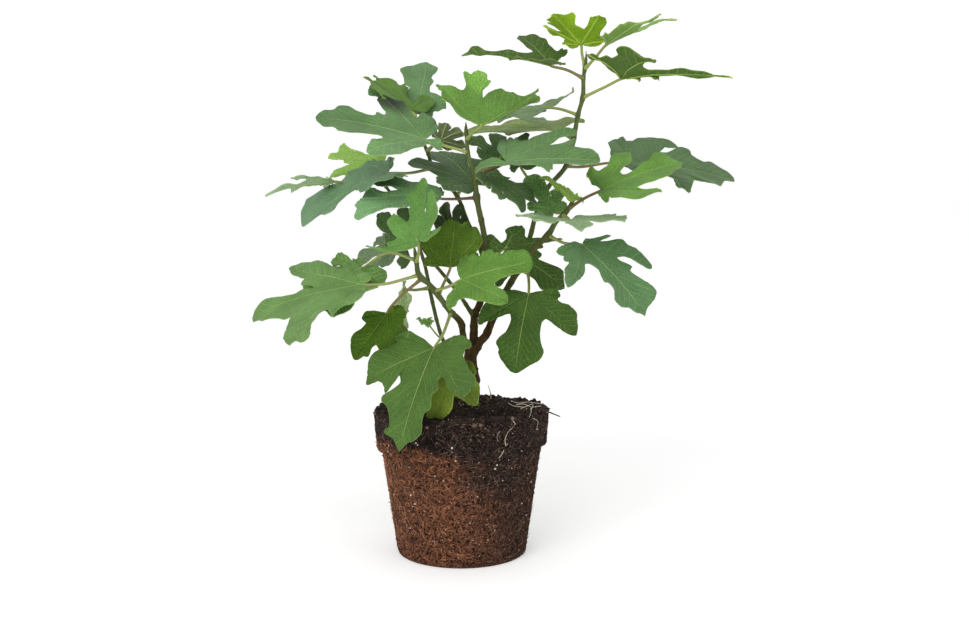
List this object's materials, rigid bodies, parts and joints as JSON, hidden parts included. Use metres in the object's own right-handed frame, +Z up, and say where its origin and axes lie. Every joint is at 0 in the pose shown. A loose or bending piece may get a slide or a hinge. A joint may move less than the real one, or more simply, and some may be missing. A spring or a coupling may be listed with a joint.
{
  "type": "potted fig plant",
  "caption": "Young fig plant with lobed leaves on branching stems, rooted in soil in a round tapered fibre pot that stands on its flat bottom.",
  "frame": {"origin": "the middle of the pot's flat bottom", "axes": "+Z up out of the pot, the plant's front looks along -Y, and +X is on the right as seen from the front"},
  "size_m": [0.4637, 0.2787, 0.5091],
  "materials": {
    "pressed_fibre": "rough brown pressed coir fibre",
    "soil": "moist dark potting soil with white specks",
    "bark": "smooth brown to green-brown bark",
    "leaf": "satin mid-green leaf with pale veins",
    "young_leaf": "satin yellow-green young leaf with pale veins"
  },
  "bodies": {
    "root": {"fibre_pot": "pressed_fibre", "potting_soil": "soil", "trunk_and_branches": "bark", "young_shoot": "young_leaf", "leaf_top_left": "leaf", "leaf_top_crown": "young_leaf", "leaf_top_young": "young_leaf", "leaf_top_right": "leaf", "leaf_mid_grey": "leaf", "leaf_mid_flat": "leaf", "leaf_far_right": "leaf", "leaf_right_back": "leaf", "leaf_right_bright": "leaf", "leaf_right_folded": "young_leaf", "leaf_right_flat": "leaf", "leaf_right_dark": "leaf", "leaf_right_low": "leaf", "leaf_centre_dark": "leaf", "leaf_low_right": "leaf", "leaf_mid_crown": "young_leaf", "leaf_mid_right": "leaf", "leaf_mid_back": "leaf", "leaf_mid_left": "leaf", "leaf_mid_low": "leaf", "leaf_left_large": "leaf", "leaf_left_mid": "leaf", "leaf_small_brown": "leaf", "leaf_left_long": "leaf", "leaf_upright_grey": "leaf", "leaf_upper_folded": "young_leaf", "leaf_left_young": "young_leaf", "leaf_far_left": "leaf", "leaf_small_under": "leaf", "leaf_left_crown": "young_leaf", "leaf_left_low": "leaf", "leaf_left_behind": "leaf", "leaf_front_left": "leaf", "leaf_front_low": "leaf", "leaf_front_mid": "leaf", "leaf_centre_back": "leaf", "leaf_hanging_grey": "leaf", "leaf_low_olive": "leaf", "leaf_behind_crown": "leaf", "leaf_behind_centre": "leaf", "leaf_pale_left": "leaf"}
  },
  "joints": []
}
